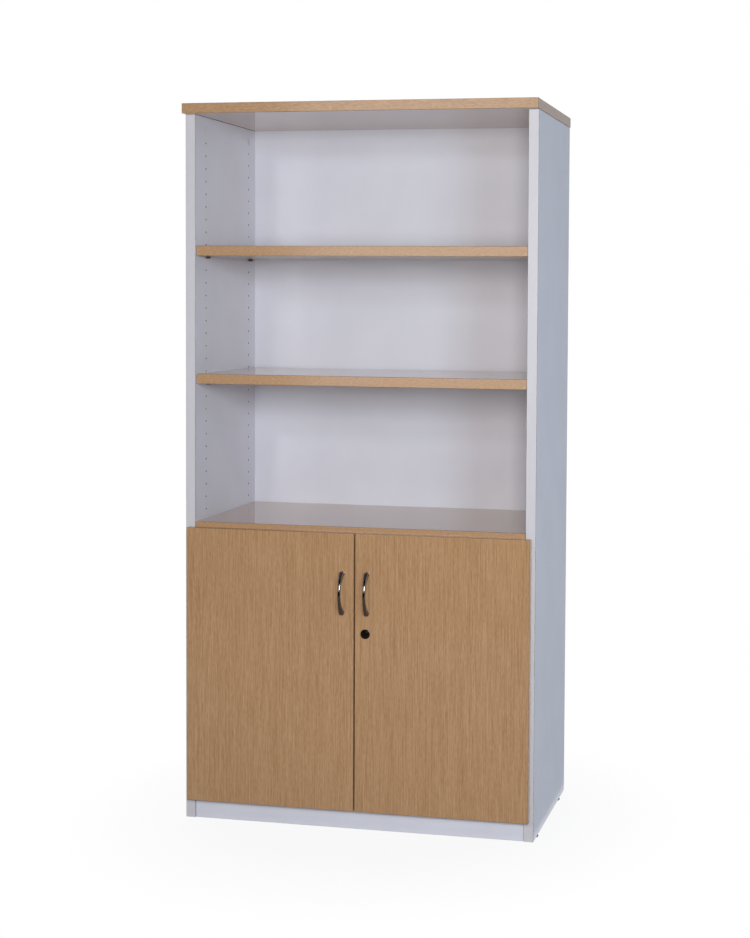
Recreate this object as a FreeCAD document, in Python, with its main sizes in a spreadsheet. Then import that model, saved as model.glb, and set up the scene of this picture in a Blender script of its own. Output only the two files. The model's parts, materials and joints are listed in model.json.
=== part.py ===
import FreeCAD, Part

import os
import re

import Sketcher
from FreeCAD import Placement, Rotation, Vector

# Bookcase with an open upper part and a two-door cupboard below, in millimetres.
# +Z is up, the doors face -Y, and the origin is on the floor under the middle of the box around it.

SIZES = {
    # carcass boards
    "overall_height": 1800,
    "top_width": 900,
    "top_thickness": 25,
    "top_overhang": 20,
    "carcass_width": 896,
    "side_depth": 430,
    "side_thickness": 25,
    "fixed_shelf_height": 758,
    "fixed_shelf_thickness": 25,
    "bottom_height": 90,
    "bottom_thickness": 25,
    "plinth_thickness": 18,
    "plinth_recess": 3,
    "back_thickness": 6,
    "back_inset": 8,
    "back_bottom_height": 40,
    "groove_depth": 8,
    "board_rounding": 1,
    # adjustable shelves and the rows of holes that carry them
    "shelf_thickness": 25,
    "shelf_setback": 7,
    "shelf_back_gap": 3,
    "shelf_end_gap": 1,
    "cupboard_shelf_setback": 30,
    "pin_radius": 2.45,
    "pin_hole_radius": 2.5,
    "pin_insertion": 12.5,
    "pin_projection": 12,
    "pin_hole_depth": 13,
    "pin_pitch": 32,
    "pin_front_column": 70,
    "pin_back_column": 366,
    "pin_first_drop": 66,
    "open_pin_rows": 30,
    "cupboard_first_pin_drop": 48,
    "cupboard_pin_rows": 17,
    "upper_shelf_row": 9,
    "lower_shelf_row": 19,
    "cupboard_shelf_row": 9,
    "rest_gap": 0.3,
    # doors
    "door_thickness": 18,
    "door_gap": 2,
    "door_side_inset": 9.5,
    "door_seam": 3,
    "door_top_drop": 13,
    "door_bottom_rise": 50,
    # bow handles
    "handle_pitch": 96,
    "handle_rise": 26.4,
    "handle_post": 4,
    "handle_foot_radius": 5.3,
    "handle_middle_radius": 2.6,
    "handle_drop": 148,
    "handle_inset": 30,
    "handle_screw_radius": 1.9,
    "handle_screw_bite": 7,
    "handle_screw_head_radius": 4,
    "handle_screw_head_height": 2.2,
    # cup hinges
    "hinge_end_distance": 100,
    "cup_centre_inset": 22,
    "cup_radius": 17.45,
    "cup_inner_radius": 15.9,
    "cup_depth": 12.5,
    "cup_floor": 1,
    "cup_flange_thickness": 1.2,
    "cup_flange_radius": 18.5,
    "cup_wing_start": 22,
    "cup_wing_width": 16,
    "cup_wing_half_height": 29,
    "cup_screw_inset": 31.5,
    "cup_screw_half_spacing": 22.5,
    "link_start": 20,
    "link_width": 14,
    "link_height": 4.9,
    "link_half_height": 6,
    "link_pin_radius": 1.2,
    "link_pin_inset": 31,
    "link_pin_lift": 3,
    "link_pin_half_length": 12.1,
    "arm_tip_width": 7,
    "arm_tip_reach": 8,
    "arm_tip_half_height": 5,
    "arm_width": 10.7,
    "arm_front": 1,
    "arm_back": 62,
    "arm_half_height": 7,
    "arm_screw_radius": 3.2,
    "arm_screw_height": 1.5,
    "arm_screw_near": 24,
    "arm_screw_far": 52,
    "plate_thickness": 3.3,
    "plate_front": 20,
    "plate_half_height": 9,
    "plate_wing_thickness": 2,
    "plate_wing_front": 29,
    "plate_wing_width": 16,
    "plate_wing_half_height": 25,
    "plate_screw_depth": 37,
    "plate_screw_half_spacing": 16,
    # lock on the right door
    "lock_inset": 28,
    "lock_drop": 99,
    "lock_flange_radius": 12,
    "lock_face_radius": 11,
    "lock_flange_height": 2.2,
    "lock_barrel_radius": 9.4,
    "lock_barrel_tail": 3,
    "lock_plug_radius": 6.5,
    "lock_plug_recess": 0.2,
    "lock_running_gap": 0.05,
    "lock_stub_radius": 4,
    "keyway_width": 1.2,
    "keyway_height": 7,
    "keyway_depth": 8,
    "lock_nut_radius": 14,
    "lock_nut_height": 2.4,
    "tongue_gap": 0.3,
    "tongue_thickness": 2,
    "tongue_length": 38,
    "tongue_half_width": 7,
    "tongue_screw_radius": 5,
    "tongue_screw_height": 1.6,
    "keeper_edge": 2,
    "keeper_width": 20,
    "keeper_half_height": 20,
    "keeper_thickness": 2.5,
    "keeper_screw_half_spacing": 14,
    # slide bolt on the left door
    "bolt_inset": 30,
    "bolt_stand_off": 12,
    "bolt_radius": 4,
    "bolt_length": 63,
    "bolt_rest_gap": 2,
    "bolt_knob_radius": 2.5,
    "bolt_knob_length": 9,
    "bolt_knob_rise": 4,
    "bolt_hole_radius": 4.6,
    "bolt_hole_depth": 15,
    "guide_width": 26,
    "guide_depth": 18,
    "guide_height": 24,
    "guide_drop": 19,
    "guide_foot_width": 26,
    "guide_foot_height": 52,
    "guide_foot_drop": 5,
    "guide_foot_thickness": 2,
    "guide_screw_margin": 6,
    # buffers and glides
    "buffer_radius": 4,
    "buffer_thickness": 1.7,
    "buffer_inset": 16.5,
    "buffer_top_drop": 6,
    "buffer_bottom_rise": 20,
    "glide_height": 5,
    "glide_radius": 11,
    "glide_foot_radius": 9.5,
    "glide_spigot_radius": 4,
    "glide_spigot_length": 14,
    "glide_front": 60,
    "glide_back": 360,
    # hidden cam fittings, dowels and screws
    "fitting_play": 0.05,
    "cam_radius": 7.45,
    "cam_depth": 15,
    "cam_bolt_depth": 9,
    "cam_reach": 34,
    "cam_bolt_radius": 3.5,
    "cam_thread_radius": 2.5,
    "cam_thread_length": 11,
    "cam_cap_radius": 8.5,
    "cam_cap_thickness": 1.2,
    "plinth_cam_height": 35,
    "plinth_dowel_height": 50,
    "dowel_radius": 4,
    "dowel_length": 30,
    "dowel_in_face": 12,
    "dowel_front": 38,
    "dowel_back": 395,
    "screw_radius": 1.75,
    "screw_head_radius": 2.8,
    "screw_head_height": 0.8,
    "screw_bite": 12,
    "back_screw_head_radius": 3.5,
    "back_screw_head_height": 1.8,
    "back_screw_bite": 19,
    "back_screw_spacing": 240,
}

# Places that several pieces share, worked out from the sizes. Depths count back from the side
# panels' front edges, and insets count in towards the middle from a door's outer edge.
PLACES = {
    "handle_reach": "handle_rise + handle_middle_radius",
    "front": "(door_gap + door_thickness + handle_reach - side_depth) / 2",
    "side_outer": "carcass_width / 2",
    "side_inner": "carcass_width / 2 - side_thickness",
    "side_middle": "carcass_width / 2 - side_thickness / 2",
    "side_top": "overall_height - top_thickness",
    "back_face": "front + side_depth - back_inset - back_thickness",
    "groove_bottom": "side_inner + groove_depth",
    "fixed_shelf_underside": "fixed_shelf_height - fixed_shelf_thickness",
    "bottom_underside": "bottom_height - bottom_thickness",
    "first_pin": "side_top - pin_first_drop",
    "cupboard_first_pin": "fixed_shelf_underside - cupboard_first_pin_drop",
    "door_outer": "carcass_width / 2 - door_side_inset",
    "door_inner": "door_seam / 2",
    "door_back": "front - door_gap",
    "door_front": "front - door_gap - door_thickness",
    "door_top": "fixed_shelf_height - door_top_drop",
    "door_bottom": "glide_height + door_bottom_rise",
    "handle_x": "door_seam / 2 + handle_inset",
    "handle_height": "door_top - handle_drop",
    "lock_height": "door_top - handle_drop - lock_drop",
    "handle_arc_rise": "handle_rise - handle_post",
    "handle_arc_radius": "(handle_pitch ^ 2 / 4 + handle_arc_rise ^ 2) / (2 * handle_arc_rise)",
    "handle_arc_angle": "2 * atan(2 * handle_arc_rise / handle_pitch)",
    "lock_tail": "door_back + lock_barrel_tail",
    "lock_face": "door_front - lock_flange_height",
    "bolt_y": "door_back + bolt_stand_off",
    "bolt_top": "fixed_shelf_underside - bolt_rest_gap",
}

HANDLE_SECTIONS = 9
ROUGH = 100.0  # the size a sketch is drawn at before its sizes are bound to the sheet

FACING = {
    "x": Rotation(Vector(0, 1, 0), 90),
    "-x": Rotation(Vector(0, 1, 0), -90),
    "y": Rotation(Vector(1, 0, 0), -90),
    "-y": Rotation(Vector(1, 0, 0), 90),
    "z": Rotation(),
    "-z": Rotation(Vector(1, 0, 0), 180),
}

SIDES = {"left": -1, "right": 1}

doc = FreeCAD.newDocument("Bookcase")
sheet = doc.addObject("Spreadsheet::Sheet", "Sizes")
for row, (name, size) in enumerate(SIZES.items(), 1):
    sheet.set(f"A{row}", name)
    sheet.set(f"B{row}", str(size))
    sheet.setAlias(f"B{row}", name)
doc.recompute()

nodes = []


def formula(text):
    """Write a sum of sizes and places as a FreeCAD expression on the sheet."""

    def word(match):
        name = match.group()
        if name in PLACES:
            return "(" + formula(PLACES[name]) + ")"
        return "Sizes." + name if name in SIZES else name

    return re.sub(r"[a-z]\w*", word, str(text))


def bind(thing, prop, text):
    thing.setExpression(prop, formula(text))


def place(thing, point, facing="z"):
    thing.Placement = Placement(Vector(), FACING[facing])
    for axis, text in zip("xyz", point):
        bind(thing, "Placement.Base." + axis, text)
    return thing


def shifted(point, facing, distance):
    """The point moved by a distance along one of the six directions."""
    moved = list(point)
    axis = "xyz".index(facing[-1])
    sign = "-" if facing.startswith("-") else "+"
    moved[axis] = f"{point[axis]} {sign} ({distance})"
    return tuple(moved)


def box(point, length, width, height):
    block = doc.addObject("Part::Box", "Block")
    for prop, text in (("Length", length), ("Width", width), ("Height", height)):
        bind(block, prop, text)
    return place(block, point)


def rod(point, facing, radius, length):
    cylinder = doc.addObject("Part::Cylinder", "Rod")
    bind(cylinder, "Radius", radius)
    bind(cylinder, "Height", length)
    return place(cylinder, point, facing)


def cone(point, facing, start_radius, end_radius, length):
    taper = doc.addObject("Part::Cone", "Taper")
    bind(taper, "Radius1", start_radius)
    bind(taper, "Radius2", end_radius)
    bind(taper, "Height", length)
    return place(taper, point, facing)


def ball(point, radius):
    """The half ball that rounds a foot, its flat side towards the door."""
    dome = doc.addObject("Part::Sphere", "Dome")
    bind(dome, "Radius", radius)
    dome.Angle1 = 0
    return place(dome, point, "-y")


def mirrored_box(side, inner, depth, low, width, length, height):
    """A box whose inner face lies at a distance from the middle plane, on the left or the right."""
    start = inner if side > 0 else f"-({inner}) - ({width})"
    return box((start, depth, low), width, length, height)


def fused(pieces):
    if len(pieces) == 1:
        return pieces[0]
    union = doc.addObject("Part::MultiFuse", "Union")
    union.Shapes = pieces
    return union


def cut(base, tools):
    trimmed = doc.addObject("Part::Cut", "Trimmed")
    trimmed.Base = base
    trimmed.Tool = fused(tools)
    return trimmed


def node(label, thing):
    thing.Label = label
    nodes.append(thing)
    return thing


def node_group(label, pieces):
    group = doc.addObject("Part::Compound", "Group")
    group.Links = pieces
    return node(label, group)


def rectangle(sketch, length, width):
    """A rectangle from the sketch's origin, with its two sizes bound to the sheet."""
    corners = [Vector(0, 0, 0), Vector(ROUGH, 0, 0), Vector(ROUGH, ROUGH, 0), Vector(0, ROUGH, 0)]
    for first, second in zip(corners, corners[1:] + corners[:1]):
        sketch.addGeometry(Part.LineSegment(first, second), False)
    for edge in range(4):
        sketch.addConstraint(Sketcher.Constraint("Coincident", edge, 2, (edge + 1) % 4, 1))
    for edge, kind in enumerate(("Horizontal", "Vertical") * 2):
        sketch.addConstraint(Sketcher.Constraint(kind, edge))
    sketch.addConstraint(Sketcher.Constraint("Coincident", 0, 1, -1, 1))
    for kind, edge, text in (("DistanceX", 0, length), ("DistanceY", 1, width)):
        index = sketch.addConstraint(Sketcher.Constraint(kind, edge, 1, edge, 2, ROUGH))
        bind(sketch, f"Constraints[{index}]", text)


def plane(body, role):
    return next(item for item in body.Origin.OriginFeatures if item.Role == role)


def board(point, length, width, height):
    """A board as a body with rounded edges, its lowest corner at the point."""
    body = doc.addObject("PartDesign::Body", "Board")
    sketch = body.newObject("Sketcher::SketchObject", "Outline")
    sketch.AttachmentSupport = [(plane(body, "XY_Plane"), "")]
    sketch.MapMode = "FlatFace"
    rectangle(sketch, length, width)
    pad = body.newObject("PartDesign::Pad", "Slab")
    pad.Profile = sketch
    bind(pad, "Length", height)
    doc.recompute()
    rounding = body.newObject("PartDesign::Fillet", "Rounding")
    rounding.Base = (pad, [f"Edge{n + 1}" for n in range(len(pad.Shape.Edges))])
    bind(rounding, "Radius", "board_rounding")
    return place(body, point)


def drill_rows(body, side, first_height, rows):
    """Two columns of shelf-pin holes in a side panel's inner face, repeated downwards."""
    holes = body.newObject("Sketcher::SketchObject", "PinHoles")
    holes.AttachmentSupport = [(plane(body, "YZ_Plane"), "")]
    holes.MapMode = "FlatFace"
    if side < 0:
        bind(holes, "AttachmentOffset.Base.z", "side_thickness")
    height = f"{first_height} - glide_height"
    for column in ("pin_front_column", "pin_back_column"):
        rough_circle = Part.Circle(Vector(ROUGH, ROUGH, 0), Vector(0, 0, 1), ROUGH / 10)
        circle = holes.addGeometry(rough_circle, False)
        wanted = (("Radius", "pin_hole_radius"), ("DistanceX", column), ("DistanceY", height))
        for kind, text in wanted:
            if kind == "Radius":
                constraint = Sketcher.Constraint(kind, circle, ROUGH / 10)
            else:
                constraint = Sketcher.Constraint(kind, -1, 1, circle, 3, ROUGH)
            bind(holes, f"Constraints[{holes.addConstraint(constraint)}]", text)
    pocket = body.newObject("PartDesign::Pocket", "PinPocket")
    pocket.Profile = holes
    bind(pocket, "Length", "pin_hole_depth")
    pocket.Reversed = side > 0
    doc.recompute()
    pattern = body.newObject("PartDesign::LinearPattern", "PinRows")
    pattern.Originals = [pocket]
    pattern.Direction = (holes, ["V_Axis"])
    pattern.Reversed = True
    pattern.Mode = "Spacing"
    bind(pattern, "Offset", "pin_pitch")
    bind(pattern, "Occurrences", rows)
    body.Tip = pattern
    doc.recompute()


# Bores are gathered for each board while its fittings are made, and cut at the end.
bores = {}


def bore(board_names, tool):
    for board_name in board_names:
        bores.setdefault(board_name, []).append(tool)


def drilled(label, thing):
    tools = bores.get(label)
    return node(label, cut(thing, tools) if tools else thing)


def screw(point, facing, clamp, bite, boards, sizes=("screw_head_radius", "screw_head_height")):
    """A screw whose head sits on a surface at the point and whose shank goes along facing."""
    head_radius, head_height = sizes
    reach = f"{clamp} + {bite}"
    start = shifted(point, facing, f"-({head_height})")
    tool = rod(point, facing, "screw_radius + fitting_play", reach)
    bore(boards, tool)
    head = rod(start, facing, head_radius, head_height)
    return fused([head, rod(point, facing, "screw_radius", reach)]), tool


cams = []
cam_bolts = []
dowels = []


def cam_joint(point, into, along, host, mate):
    """A cam sunk into one board's face, and its bolt through that board's end into another."""
    centre = shifted(point, into, "cam_bolt_depth")
    face = shifted(centre, along, "cam_reach")
    slot = rod(centre, along, "cam_bolt_radius + fitting_play", "cam_reach")
    cams.append(cut(rod(point, into, "cam_radius", "cam_depth"), [slot]))
    shank = rod(centre, along, "cam_bolt_radius", "cam_reach")
    thread = rod(face, along, "cam_thread_radius", "cam_thread_length")
    cam_bolts.append(fused([shank, thread]))
    housing = rod(point, into, "cam_radius + fitting_play", "cam_depth")
    thread_hole = rod(face, along, "cam_thread_radius + fitting_play", "cam_thread_length")
    bore([host], fused([housing, slot]))
    bore([mate], thread_hole)


def dowel(face_point, out_of_face, boards):
    """A wooden dowel set into a board's face and into the end of the board that meets it."""
    start = shifted(face_point, out_of_face, "-(dowel_in_face)")
    dowels.append(rod(start, out_of_face, "dowel_radius", "dowel_length"))
    bore(boards, rod(start, out_of_face, "dowel_radius + fitting_play", "dowel_length"))


# ---- carcass joints ----
caps = []
glides = []
for hand, side in SIDES.items():
    panel = f"side_panel_{hand}"
    outward, inward = ("x", "-x") if side > 0 else ("-x", "x")
    inner = f"{side} * (side_inner)"
    for column in ("pin_front_column", "pin_back_column"):
        depth = f"front + {column}"
        cam_point = (inner, depth, "side_top - cam_reach")
        cam_joint(cam_point, outward, "z", panel, "top_panel")
        caps.append(rod(cam_point, inward, "cam_cap_radius", "cam_cap_thickness"))
        end = f"{side} * (side_inner - cam_reach)"
        cam_joint((end, depth, "fixed_shelf_underside"), "z", outward, "fixed_shelf", panel)
        cam_joint((end, depth, "bottom_underside"), "z", outward, "bottom_panel", panel)
    for column in ("dowel_front", "dowel_back"):
        depth = f"front + {column}"
        dowel((f"{side} * (side_middle)", depth, "side_top"), "-z", ["top_panel", panel])
        middle = "fixed_shelf_underside + fixed_shelf_thickness / 2"
        dowel((inner, depth, middle), inward, ["fixed_shelf", panel])
        dowel((inner, depth, "bottom_height - bottom_thickness / 2"), inward, ["bottom_panel", panel])
    rail_back = "front + plinth_recess + plinth_thickness"
    rail_end = (f"{side} * (side_inner - cam_reach)", rail_back, "plinth_cam_height")
    cam_joint(rail_end, "-y", outward, "plinth_rail", panel)
    rail_middle = "front + plinth_recess + plinth_thickness / 2"
    dowel((inner, rail_middle, "plinth_dowel_height"), inward, ["plinth_rail", panel])
    for column in ("glide_front", "glide_back"):
        seat = (f"{side} * (side_middle)", f"front + {column}", "glide_height")
        pad = cone(seat, "-z", "glide_radius", "glide_foot_radius", "glide_height")
        spigot = rod(seat, "z", "glide_spigot_radius", "glide_spigot_length")
        glides.append(fused([pad, spigot]))
        bore([panel], rod(seat, "z", "glide_spigot_radius + fitting_play", "glide_spigot_length"))
    groove = mirrored_box(
        side, "side_inner", "back_face", "glide_height", "groove_depth", "back_thickness",
        "side_top - glide_height",
    )
    bore([panel], groove)
groove = box(
    ("-(groove_bottom)", "back_face", "side_top"),
    "2 * (groove_bottom)", "back_thickness", "groove_depth",
)
bore(["top_panel"], groove)

back_screws = []
rear_edges = {
    "fixed_shelf": "fixed_shelf_underside + fixed_shelf_thickness / 2",
    "bottom_panel": "bottom_height - bottom_thickness / 2",
}
for shelf, middle in rear_edges.items():
    for step in (-1.5, -0.5, 0.5, 1.5):
        point = (f"{step} * back_screw_spacing", "back_face + back_thickness", middle)
        sizes = ("back_screw_head_radius", "back_screw_head_height")
        made = screw(point, "-y", "back_thickness", "back_screw_bite", [shelf, "back_panel"], sizes)
        back_screws.append(made[0])

# ---- cup hinges ----
hinge_heights = ("door_bottom + hinge_end_distance", "door_top - hinge_end_distance")
plate_screws = []
arm_screws = []


def hinge(side, hand, height):
    """One cup hinge at a height: the cup and folded link on the door, the arm on the side panel."""
    outward = "x" if side > 0 else "-x"
    panel = f"side_panel_{hand}"
    centre = (f"{side} * (door_outer - cup_centre_inset)", "door_back", height)
    low = f"{height} - cup_wing_half_height"
    wing = mirrored_box(
        side, "door_outer - cup_wing_start - cup_wing_width", "door_back", low,
        "cup_wing_width", "cup_flange_thickness", "2 * cup_wing_half_height",
    )
    flange = rod(centre, "y", "cup_flange_radius", "cup_flange_thickness")
    shell = fused([rod(centre, "-y", "cup_radius", "cup_depth"), flange, wing])
    mouth = shifted(centre, "y", "cup_flange_thickness")
    hollow = rod(mouth, "-y", "cup_inner_radius", "cup_depth + cup_flange_thickness - cup_floor")
    holes = []
    screws = []
    for end in (-1, 1):
        screw_x = f"{side} * (door_outer - cup_screw_inset)"
        screw_z = f"{height} + {end} * cup_screw_half_spacing"
        point = (screw_x, "door_back + cup_flange_thickness", screw_z)
        made, hole = screw(point, "-y", "cup_flange_thickness", "screw_bite", [f"{hand}_door"])
        screws.append(made)
        holes.append(hole)
    cup = cut(shell, [hollow] + holes)
    bore([f"{hand}_door"], rod(centre, "-y", "cup_radius + fitting_play", "cup_depth"))

    floor = "door_back - cup_depth + cup_floor"
    pin_point = (
        f"{side} * (door_outer - link_pin_inset)", f"{floor} + link_pin_lift",
        f"{height} - link_pin_half_length",
    )
    block = mirrored_box(
        side, "door_outer - link_start - link_width", floor, f"{height} - link_half_height",
        "link_width", "link_height", "2 * link_half_height",
    )
    pin = rod(pin_point, "z", "link_pin_radius", "2 * link_pin_half_length")
    link = fused([block, pin])

    tip = mirrored_box(
        side, "side_inner - plate_thickness - arm_tip_width", "front - arm_tip_reach",
        f"{height} - arm_tip_half_height", "arm_tip_width", "arm_tip_reach",
        "2 * arm_tip_half_height",
    )
    beam = mirrored_box(
        side, "side_inner - plate_thickness - arm_width", "front - arm_front",
        f"{height} - arm_half_height", "arm_width", "arm_front + arm_back", "2 * arm_half_height",
    )
    arm = fused([tip, beam])
    for depth in ("arm_screw_near", "arm_screw_far"):
        head = (f"{side} * (side_inner - plate_thickness - arm_width - arm_screw_height)",
                f"front + {depth}", height)
        arm_screws.append(rod(head, outward, "arm_screw_radius", "arm_screw_height"))

    slab = mirrored_box(
        side, "side_inner - plate_thickness", "front + plate_front", f"{height} - plate_half_height",
        "plate_thickness", "arm_back - plate_front", "2 * plate_half_height",
    )
    wings = mirrored_box(
        side, "side_inner - plate_wing_thickness", "front + plate_wing_front",
        f"{height} - plate_wing_half_height", "plate_wing_thickness", "plate_wing_width",
        "2 * plate_wing_half_height",
    )
    plate_holes = []
    for end in (-1, 1):
        point = (f"{side} * (side_inner - plate_wing_thickness)", "front + plate_screw_depth",
                 f"{height} + {end} * plate_screw_half_spacing")
        made, hole = screw(point, outward, "plate_wing_thickness", "screw_bite", [panel])
        plate_screws.append(made)
        plate_holes.append(hole)
    plate = cut(fused([slab, wings]), plate_holes)
    return cup, link, arm, plate, screws


# ---- handles ----
def handle(side, hand):
    """A bow handle: round sections lofted along an arc, and a ball and a post at each foot."""
    centre_x = f"{side} * (handle_x)"
    sections = []

    def section(depth, height, tilt, radius):
        circle = doc.addObject("Part::Circle", "Section")
        bind(circle, "Radius", radius)
        circle.Placement = Placement(Vector(), Rotation(Vector(1, 0, 0), 90))
        for axis, text in zip("xyz", (centre_x, depth, height)):
            bind(circle, "Placement.Base." + axis, text)
        bind(circle, "Placement.Rotation.Angle", tilt)
        sections.append(circle)

    for step in range(HANDLE_SECTIONS):
        share = 2 * step / (HANDLE_SECTIONS - 1) - 1
        angle = f"{share} * handle_arc_angle"
        depth = f"door_front - handle_rise + handle_arc_radius * (1 - cos({angle}))"
        height = f"handle_height + handle_arc_radius * sin({angle})"
        radius = f"handle_middle_radius + (handle_foot_radius - handle_middle_radius) * {share ** 2}"
        section(depth, height, f"-1 * {angle}", radius)
    arc = doc.addObject("Part::Loft", "Arc")
    arc.Sections = sections
    arc.Solid = True

    screws = []
    holes = []
    pieces = [arc]
    for end in (-1, 1):
        height = f"handle_height + {end} * handle_pitch / 2"
        pieces.append(rod((centre_x, "door_front", height), "-y", "handle_foot_radius", "handle_post"))
        pieces.append(ball((centre_x, "door_front - handle_post", height), "handle_foot_radius"))
        point = (centre_x, "door_back", height)
        reach = "door_thickness + handle_screw_bite"
        head = rod(point, "y", "handle_screw_head_radius", "handle_screw_head_height")
        screws.append(fused([head, rod(point, "-y", "handle_screw_radius", reach)]))
        hole = rod(point, "-y", "handle_screw_radius + fitting_play", reach)
        holes.append(hole)
        bore([f"{hand}_door"], hole)
    node(f"{hand}_handle", cut(fused(pieces), holes))
    node_group(f"{hand}_handle_screws", screws)


for hand, side in SIDES.items():
    handle(side, hand)
    made = [hinge(side, hand, height) for height in hinge_heights]
    node_group(f"{hand}_hinge_cups", [item[0] for item in made])
    node_group(f"{hand}_hinge_links", [item[1] for item in made])
    node_group(f"{hand}_hinge_arms", [item[2] for item in made])
    node_group(f"{hand}_hinge_plates", [item[3] for item in made])
    node_group(f"{hand}_cup_screws", [screw_made for item in made for screw_made in item[4]])
    buffers = []
    for height in ("door_top - buffer_top_drop", "door_bottom + buffer_bottom_rise"):
        point = (f"{side} * buffer_inset", "door_back", height)
        buffers.append(rod(point, "y", "buffer_radius", "buffer_thickness"))
    node_group(f"{hand}_door_buffers", buffers)
node_group("hinge_plate_screws", plate_screws)
node_group("hinge_arm_screws", arm_screws)

# ---- lock on the right door ----
axis_point = ("lock_inset", "lock_face", "lock_height")
flange = cone(axis_point, "y", "lock_face_radius", "lock_flange_radius", "lock_flange_height")
barrel_length = "lock_flange_height + door_thickness + lock_barrel_tail"
barrel = rod(axis_point, "y", "lock_barrel_radius", barrel_length)
plug_room = rod(axis_point, "y", "lock_plug_radius + lock_running_gap", barrel_length)
node("lock_body", cut(fused([flange, barrel]), [plug_room]))
door_face = ("lock_inset", "door_front", "lock_height")
bore(["right_door"], rod(door_face, "y", "lock_barrel_radius + fitting_play", "door_thickness"))

plug_start = shifted(axis_point, "y", "lock_plug_recess")
plug = rod(plug_start, "y", "lock_plug_radius", f"{barrel_length} - lock_plug_recess")
stub_length = "tongue_gap + tongue_thickness"
stub = rod(("lock_inset", "lock_tail", "lock_height"), "y", "lock_stub_radius", stub_length)
keyway = box(
    ("lock_inset - keyway_width / 2", "lock_face", "lock_height - keyway_height / 2"),
    "keyway_width", "keyway_depth", "keyway_height",
)
node("lock_plug", cut(fused([plug, stub]), [keyway]))

tongue_y = "lock_tail + tongue_gap"
blade = box(
    ("lock_inset - tongue_half_width", tongue_y, "lock_height - tongue_length"),
    "2 * tongue_half_width", "tongue_thickness", "tongue_length",
)
stub_point = ("lock_inset", tongue_y, "lock_height")
hub = rod(stub_point, "y", "tongue_half_width", "tongue_thickness")
stub_hole = rod(stub_point, "y", "lock_stub_radius + fitting_play", "tongue_thickness")
node("lock_tongue", cut(fused([blade, hub]), [stub_hole]))
screw_point = ("lock_inset", f"{tongue_y} + tongue_thickness", "lock_height")
node("tongue_screw", rod(screw_point, "y", "tongue_screw_radius", "tongue_screw_height"))

nut = doc.addObject("Part::Prism", "Hexagon")
nut.Polygon = 6
bind(nut, "Circumradius", "lock_nut_radius")
bind(nut, "Height", "lock_nut_height")
nut_point = ("lock_inset", "door_back", "lock_height")
place(nut, nut_point, "y")
node("lock_nut", cut(nut, [rod(nut_point, "y", "lock_barrel_radius + fitting_play", "lock_nut_height")]))

# ---- keeper and slide bolt on the left door ----
keeper = box(
    ("-keeper_edge - keeper_width", "door_back", "lock_height - keeper_half_height"),
    "keeper_width", "keeper_thickness", "2 * keeper_half_height",
)
keeper_screws = []
keeper_holes = []
for end in (-1, 1):
    point = ("-keeper_edge - keeper_width / 2", "door_back + keeper_thickness",
             f"lock_height + {end} * keeper_screw_half_spacing")
    made, hole = screw(point, "-y", "keeper_thickness", "screw_bite", ["left_door"])
    keeper_screws.append(made)
    keeper_holes.append(hole)
node("lock_keeper", cut(keeper, keeper_holes))
node_group("keeper_screws", keeper_screws)

bolt_foot = ("-bolt_inset", "bolt_y", "bolt_top - bolt_length")
shaft = rod(bolt_foot, "z", "bolt_radius", "bolt_length")
knob_point = shifted(bolt_foot, "z", "bolt_knob_rise")
knob = rod(knob_point, "y", "bolt_knob_radius", "bolt_radius + bolt_knob_length")
node("left_bolt", fused([shaft, knob]))
bolt_mouth = ("-bolt_inset", "bolt_y", "fixed_shelf_underside")
bolt_hole = rod(bolt_mouth, "z", "bolt_hole_radius", "bolt_hole_depth")
bore(["fixed_shelf"], bolt_hole)

guide = box(
    ("-bolt_inset - guide_width / 2", "door_back", "fixed_shelf_underside - guide_drop - guide_height"),
    "guide_width", "guide_depth", "guide_height",
)
foot_low = "fixed_shelf_underside - guide_foot_drop - guide_foot_height"
guide_foot = box(
    ("-bolt_inset - guide_foot_width / 2", "door_back", foot_low),
    "guide_foot_width", "guide_foot_thickness", "guide_foot_height",
)
channel = rod(bolt_foot, "z", "bolt_radius + lock_running_gap", "bolt_length")
guide_screws = []
guide_holes = []
for margin in ("guide_screw_margin", "guide_foot_height - guide_screw_margin"):
    height = f"{foot_low} + {margin}"
    point = ("-bolt_inset", "door_back + guide_foot_thickness", height)
    made, hole = screw(point, "-y", "guide_foot_thickness", "screw_bite", ["left_door"])
    guide_screws.append(made)
    guide_holes.append(hole)
node("bolt_guide", cut(fused([guide, guide_foot]), [channel] + guide_holes))
node_group("bolt_guide_screws", guide_screws)

# ---- boards ----
for hand, side in SIDES.items():
    corner = "side_inner" if side > 0 else "-(side_outer)"
    body = board(
        (corner, "front", "glide_height"), "side_thickness", "side_depth", "side_top - glide_height"
    )
    drill_rows(body, side, "first_pin", "open_pin_rows")
    drill_rows(body, side, "cupboard_first_pin", "cupboard_pin_rows")
    drilled(f"side_panel_{hand}", body)

    corner = "door_inner" if side > 0 else "-(door_outer)"
    door = board(
        (corner, "door_front", "door_bottom"),
        "door_outer - door_inner", "door_thickness", "door_top - door_bottom",
    )
    drilled(f"{hand}_door", door)

top = board(
    ("-top_width / 2", "front - top_overhang", "side_top"),
    "top_width", "top_overhang + side_depth", "top_thickness",
)
drilled("top_panel", top)

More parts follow.
